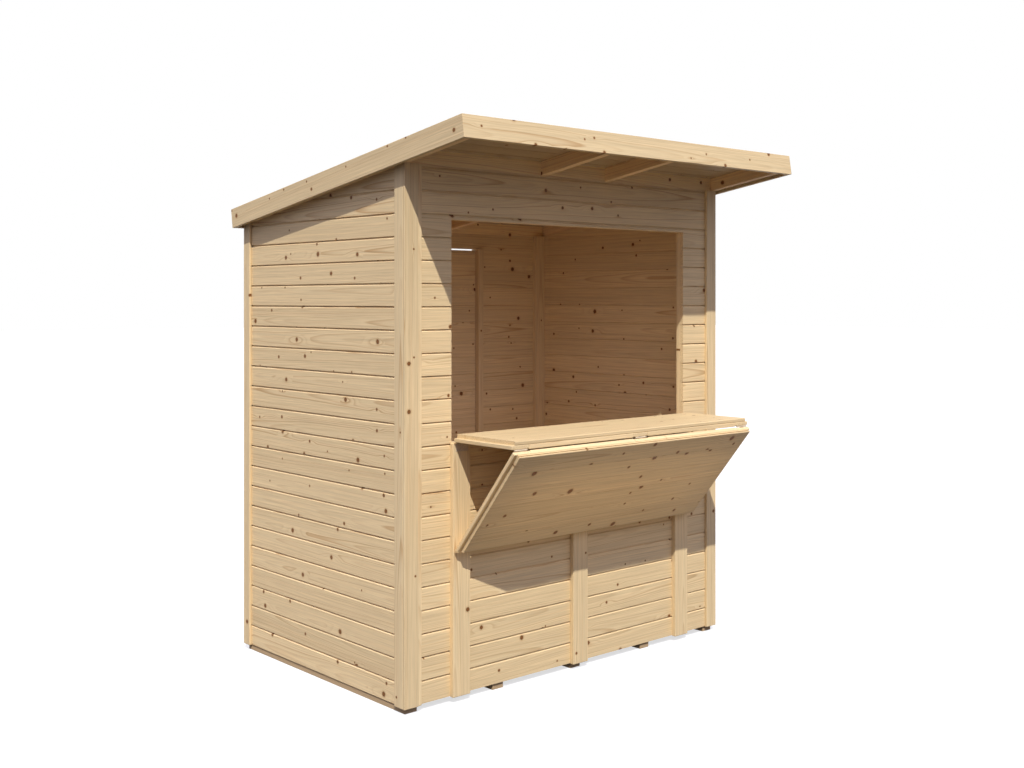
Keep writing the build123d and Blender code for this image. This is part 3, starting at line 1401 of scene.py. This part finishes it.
@dataclass
class Shutter:
    """The counter, the leaf that props it, and the hinges at both pins."""

    finishes: Finishes
    edge: float = 0.0028
    # The counter's boards are painted darker, a painted shade that tones down the sun on its top.
    counter_grade_painted_shade: Grade = Grade(tone=0.86)
    # The flap's boards are painted a little darker, a painted shade that tones down the sun on its face; their
    # knots are larger.
    flap_grade_painted_shade: Grade = Grade(tone=0.93, knot_size=1.55)
    foot_depth: float = 0.0145
    foot_play: float = 0.003
    profile: BoardProfile = BoardProfile(Joint.FINE, thickness=0.016, fine_half=0.0008)
    screws: HingeScrews = HingeScrews()

    def build(self) -> None:
        """Makes both leaves and dresses their hinges."""
        counter_pin, _ = hinge("counter_hinge")
        flap_pin, travel = hinge("flap_hinge")
        angle = math.radians(180 - travel)
        down = Vector((0, math.cos(angle), -math.sin(angle)))
        out = Vector((0, -math.sin(angle), -math.cos(angle)))
        counter_axes = Lie(Vector((0, counter_pin.y, counter_pin.z)), X, -Y, Z)
        flap_axes = Lie(Vector((0, flap_pin.y, flap_pin.z)), X, down, out)
        level = Cut(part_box("flap_boards")[0], -Z)
        self.leaf("counter", counter_axes, Body.COUNTER, self.counter_grade_painted_shade, ())
        self.leaf("flap", flap_axes, Body.FLAP, self.flap_grade_painted_shade, (level,))
        self.hinges(counter_axes, flap_axes)

    def leaf(
        self, name: str, axes: Lie, body: Body, grade: Grade, cuts: Sequence[Cut]
    ) -> None:
        """Makes one leaf.

        Args:
            name: The leaf's name.
            axes: Its pin, the pin's direction, the leaf's direction from it, and the way
                from its battens to its boards.
            body: The body that it rides on.
            grade: How its boards are picked, and their lightness, which is painted shade.
            cuts: Where its far end is cut.
        """
        slab = solids_of(f"{name}_boards")[0]
        low, high = slab.extent(axes)
        mesh = TimberMesh(f"{name}_boards_wood", grade)
        lie = axes.moved(0, low.y, low.z)
        eased = [
            Cut(axes.place(0, side - way * self.edge, face), axes.across * way + axes.depth * up)
            for side, way in ((low.y, -1), (high.y, 1))
            for face, up in ((low.z, -1), (high.z, 1))
        ]
        Boarding(self.profile).lay(mesh, slab, lie, name, (*cuts, *eased))
        mesh.piece(self.finishes, body, f"{name}_boards")
        plane_timbers(self.finishes, body, axes, self.edge, (f"{name}_battens",))
        self.rails(name, axes, body, high.y, cuts)

    def rails(
        self, name: str, axes: Lie, body: Body, end: float, cuts: Sequence[Cut]
    ) -> None:
        """Makes the rails between a leaf's battens at its pin, and deeper ones at a cut far end.

        Args:
            name: The leaf's name.
            axes: Its pin and directions.
            body: The body that they ride on.
            end: How far the leaf reaches from its pin.
            cuts: Where its far end is cut.
        """
        node = f"{name}_rails"
        mesh = TimberMesh(f"{node}_wood", CLEAR)
        for index, solid in enumerate(solids_of(node)):
            lie = solid.lie_in(axes)
            mesh.add(softened(solid, self.edge), lie, f"{node} {index}")
            low, high = solid.extent(axes)
            near, far = end - (high.y - low.y), end + (high.y - low.y)
            inner, outer = low.z - self.foot_depth, high.z
            outline = [(near, inner), (far, inner), (far, outer), (near, outer)]
            for cut in cuts:
                foot = extruded(outline, axes, low.x + self.foot_play, high.x - self.foot_play)
                trim_mesh(foot, cut)
                mesh.add(foot, axes.moved(0, end, 0), f"{node} foot {index}")
        mesh.piece(self.finishes, body, node)

    def hinges(self, counter: Lie, flap: Lie) -> None:
        """Dresses the hinges and adds their screws.

        Args:
            counter: The counter's pin and directions.
            flap: The flap's pin and directions.
        """
        rows = {
            "counter_hinge_post_halves": (counter.origin, -Z, Y, Body.STALL),
            "counter_hinge_leaf_halves": (counter.origin, -Y, Z, Body.COUNTER),
            "flap_hinge_counter_halves": (flap.origin, Y, Z, Body.COUNTER),
            "flap_hinge_leaf_halves": (flap.origin, flap.across, flap.depth, Body.FLAP),
        }
        places = [solid.middle().x for solid in solids_of("front_posts")]
        dress_steel(self.finishes, rows)
        for node, (pin, plate, wood, body) in rows.items():
            pins = [Lie(pin + X * place, X, plate, wood) for place in places]
            self.screws.build(f"{node}_screws", pins, body, self.finishes)


@dataclass(frozen=True)
class KnobForm:
    """Turned shape of a knob, in shares of its length and of its radius.

    Attributes:
        neck: Length of the stem under the head.
        collar: Length of the flare at the stem's foot.
        foot: Radius of the flare.
        stem: Radius of the stem.
        core: Radius at which the head's rounding begins.
        step: Degrees between the rounding's facets.
        segments: Facets round the knob.
    """

    neck: float = 0.44
    collar: float = 0.07
    foot: float = 0.62
    stem: float = 0.5
    core: float = 0.45
    step: int = 15
    segments: int = 40

    def outline(self, length: float, radius: float) -> list[Pair]:
        """Works out the knob's outline.

        Args:
            length: How far the knob stands out.
            radius: Its greatest radius.

        Returns:
            Distances along the knob and the radii there.
        """
        neck = length * self.neck
        half = (length - neck) / 2
        stem = radius * self.stem
        outline = [(0.0, radius * self.foot), (length * self.collar, stem), (neck, stem)]
        for angle in map(math.radians, range(-90, 91, self.step)):
            swell = radius * (self.core + (1 - self.core) * math.cos(angle))
            outline.append((neck + half * (1 + math.sin(angle)), swell))
        return outline


@dataclass
class Door:
    """The door at the back, with its battens, hinges and knob."""

    finishes: Finishes
    edge: float = 0.0025
    boarding: Boarding = Boarding(BoardProfile(Joint.V_GROOVE))
    screws: HingeScrews = HingeScrews()
    knob_form: KnobForm = KnobForm()
    head_lap: float = 0.007

    def build(self) -> None:
        """Makes the leaf and its knob and dresses the hinges."""
        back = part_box("door_boards")[1].y
        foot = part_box("front_wall_left")[0].z
        lie = Lie(Vector((0, back, foot)), X, Z, -Y)
        mesh = TimberMesh("door_boards_wood")
        slab = solids_of("door_boards")[0]
        self.boarding.lay(mesh, slab, lie, "door", over=self.head_lap)
        mesh.piece(self.finishes, Body.DOOR, "door_boards")
        plane_timbers(self.finishes, Body.DOOR, WORLD, self.edge, ("door_battens",))
        self.knob()
        rows = {
            "door_hinge_post_halves": (-X, Body.STALL),
            "door_hinge_leaf_halves": (X, Body.DOOR),
        }
        dress_steel(self.finishes, rows)
        pin, _ = hinge("door_hinge")
        heights = sorted(solid.middle().z for solid in solids_of("door_hinge_post_halves"))
        for node, (plate, body) in rows.items():
            pins = [Lie(Vector((pin.x, pin.y, height)), Z, plate, -Y) for height in heights]
            self.screws.build(f"{node}_screws", pins, body, self.finishes)

    def knob(self) -> None:
        """Turns the knob with a rounded head."""
        low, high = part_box("door_knob")
        lie = Lie(Vector(((low.x + high.x) / 2, low.y, (low.z + high.z) / 2)), Y, Z, X)
        made = bmesh.new()
        rings = []
        for run, radius in self.knob_form.outline(high.y - low.y, (high.x - low.x) / 2):
            spots = circle(radius, self.knob_form.segments)
            rings.append([made.verts.new(lie.place(run, *spot)) for spot in spots])
        close_rings(made, rings)
        mesh = TimberMesh("door_knob_wood")
        mesh.add(made, lie, "knob")
        piece = mesh.piece(self.finishes, Body.DOOR, "door_knob")
        piece.data.shade_smooth()


@dataclass
class Studio:
    """Pale floor, soft sky and a soft sun, with a white background."""

    floor_reach: float = 60.0
    floor_glow: float = 0.68
    floor_white: float = 0.36
    floor_bounce: Colour = (0.035, 0.033, 0.032)
    sky_colour: Colour = (0.90, 0.885, 1.13)
    horizon_strength: float = 0.33
    zenith_strength: float = 1.12
    sun_strength: float = 3.7
    sun_colour: Colour = (1.0, 0.985, 0.95)
    sun_travel: Point = (0.725, 1.0, -1.547)
    sun_spread: float = 0.6
    inner_power: float = 2.6
    inner_colour: Colour = (1.0, 0.86, 0.98)
    inner_radius: float = 0.35
    inner_place: Point = (0.0, 0.15, 1.05)
    front_power: float = 0.85
    front_colour: Colour = (1.0, 0.74, 0.46)
    front_size: Pair = (1.6, 0.2)
    front_spread: float = 92.0
    front_place: Point = (0.03, -1.11, 0.40)
    front_aim: Point = (0.0, 1.0, 0.97)

    def build(self) -> None:
        """Makes the floor, the world, the sun and the two weak lamps."""
        bpy.context.scene.view_settings.view_transform = "Standard"
        self.floor()
        self.sky()
        self.sun()
        self.inner_lamp()
        self.front_lamp()

    def parted(self, graph: ShaderGraph, lit: NodeSocket, shown: NodeSocket) -> NodeSocket:
        """Parts rays that light the stall from rays that show the background.

        Args:
            graph: Nodes of the floor or the sky.
            lit: What lights the stall.
            shown: What shows behind it, and in metal and glass.

        Returns:
            Both in one shader.
        """
        path = graph.node("ShaderNodeLightPath").outputs
        seen = graph.math("MAXIMUM", path["Is Camera Ray"], path["Is Glossy Ray"])
        seen = graph.math("MAXIMUM", seen, path["Is Transmission Ray"])
        mixed = graph.node("ShaderNodeMixShader")
        for socket, value in zip(mixed.inputs, (seen, lit, shown)):
            graph.feed(socket, value)
        return mixed.outputs[0]

    def floor(self) -> None:
        """Makes the floor, white to the eye and dark to the light that falls on it."""
        data = bpy.data.meshes.new("studio_floor")
        reach = self.floor_reach
        corners = [(-reach, -reach, 0), (reach, -reach, 0), (reach, reach, 0), (-reach, reach, 0)]
        data.from_pydata(corners, [], [(0, 1, 2, 3)])
        material, graph = new_material("studio_floor")
        white = opaque((self.floor_white,) * 3)
        shown = graph.node("ShaderNodeAddShader")
        for socket, kind, inputs in (
            (shown.inputs[0], "ShaderNodeEmission", {"Strength": self.floor_glow}),
            (shown.inputs[1], "ShaderNodeBsdfDiffuse", {"Color": white}),
        ):
            graph.feed(socket, graph.filled(kind, inputs).outputs[0])
        lit = graph.filled("ShaderNodeBsdfDiffuse", {"Color": opaque(self.floor_bounce)})
        surface = self.parted(graph, lit.outputs[0], shown.outputs[0])
        graph.output("ShaderNodeOutputMaterial", surface)
        data.materials.append(material)
        made = placed("studio_floor", data)

    def sky(self) -> None:
        """Lights the stall from all round and shows white behind it."""
        world = bpy.data.worlds.new("studio_sky")
        bpy.context.scene.world = world
        world.use_nodes = True
        graph = ShaderGraph(world.node_tree)
        _, _, height = graph.split(graph.node("ShaderNodeTexCoord").outputs["Generated"])
        rise = self.zenith_strength - self.horizon_strength
        above = graph.math("MAXIMUM", height, 0.0)
        strength = graph.math("MULTIPLY_ADD", above, rise, self.horizon_strength)
        light, white = (
            graph.filled("ShaderNodeBackground", {"Color": opaque(colour), "Strength": power})
            for colour, power in ((self.sky_colour, strength), (WHITE, 1.0))
        )
        surface = self.parted(graph, light.outputs[0], white.outputs[0])
        graph.output("ShaderNodeOutputWorld", surface)

    def sun(self) -> None:
        """Hangs the sun in front of the stall, to the left."""
        lamp = bpy.data.lights.new("studio_sun", "SUN")
        lamp.energy = self.sun_strength
        lamp.color = self.sun_colour
        lamp.angle = math.radians(self.sun_spread)
        made = placed("studio_sun", lamp)
        made.rotation_euler = Vector(self.sun_travel).to_track_quat("-Z", "Y").to_euler()

    def inner_lamp(self) -> None:
        """Hangs a weak warm lamp inside the stall, for light that the walls throw about."""
        lamp = bpy.data.lights.new("studio_inner_lamp", "POINT")
        lamp.energy = self.inner_power
        lamp.color = self.inner_colour
        lamp.shadow_soft_size = self.inner_radius
        self.hide_lamp(lamp, self.inner_place, -Z)

    def front_lamp(self) -> None:
        """Hangs a weak warm lamp low in front, for light off the ground."""
        lamp = bpy.data.lights.new("studio_front_lamp", "AREA")
        lamp.energy = self.front_power
        lamp.color = self.front_colour
        lamp.shape = "RECTANGLE"
        lamp.size, lamp.size_y = self.front_size
        lamp.spread = math.radians(self.front_spread)
        self.hide_lamp(lamp, self.front_place, Vector(self.front_aim))

    def hide_lamp(self, lamp: bpy.types.Light, place: Point, aim: Vector) -> None:
        """Hangs a lamp that lights the stall and is not seen itself.

        Args:
            lamp: The lamp's light.
            place: Where it hangs.
            aim: The way it shines.
        """
        made = placed(lamp.name, lamp)
        made.location = place
        made.rotation_euler = aim.to_track_quat("-Z", "Y").to_euler()
        made.visible_camera = False
        made.visible_glossy = False


@dataclass
class PhotoCamera:
    """Camera at the photograph's place, measured from the front wall's lower left corner."""

    away: Point = (-2.8999, -3.9128, 1.6256)
    heading: float = -41.54
    focal_pixels: float = 1221.4
    horizon_above_middle: float = 84.0
    sensor: float = 36.0

    def build(self) -> None:
        """Makes the scene's camera."""
        data = bpy.data.cameras.new("photo_camera")
        data.sensor_width = self.sensor
        data.lens = self.sensor * self.focal_pixels / IMAGE_WIDTH
        data.shift_y = -self.horizon_above_middle / IMAGE_WIDTH
        made = placed("photo_camera", data)
        made.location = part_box("front_wall_left")[0] + Vector(self.away)
        made.rotation_euler = (math.radians(90), 0, math.radians(self.heading))
        bpy.context.scene.camera = made


def main() -> None:
    """Builds the stall and its studio."""
    logging.basicConfig(level=logging.INFO, format="%(message)s")
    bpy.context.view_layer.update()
    finishes = Finishes()
    for part in (
        Floor(finishes),
        Walls(finishes),
        Roof(finishes),
        Trims(finishes),
        Shutter(finishes),
        Door(finishes),
        Studio(),
        PhotoCamera(),
    ):
        LOG.info("building %s", type(part).__name__)
        part.build()


if __name__ == "__main__":
    main()
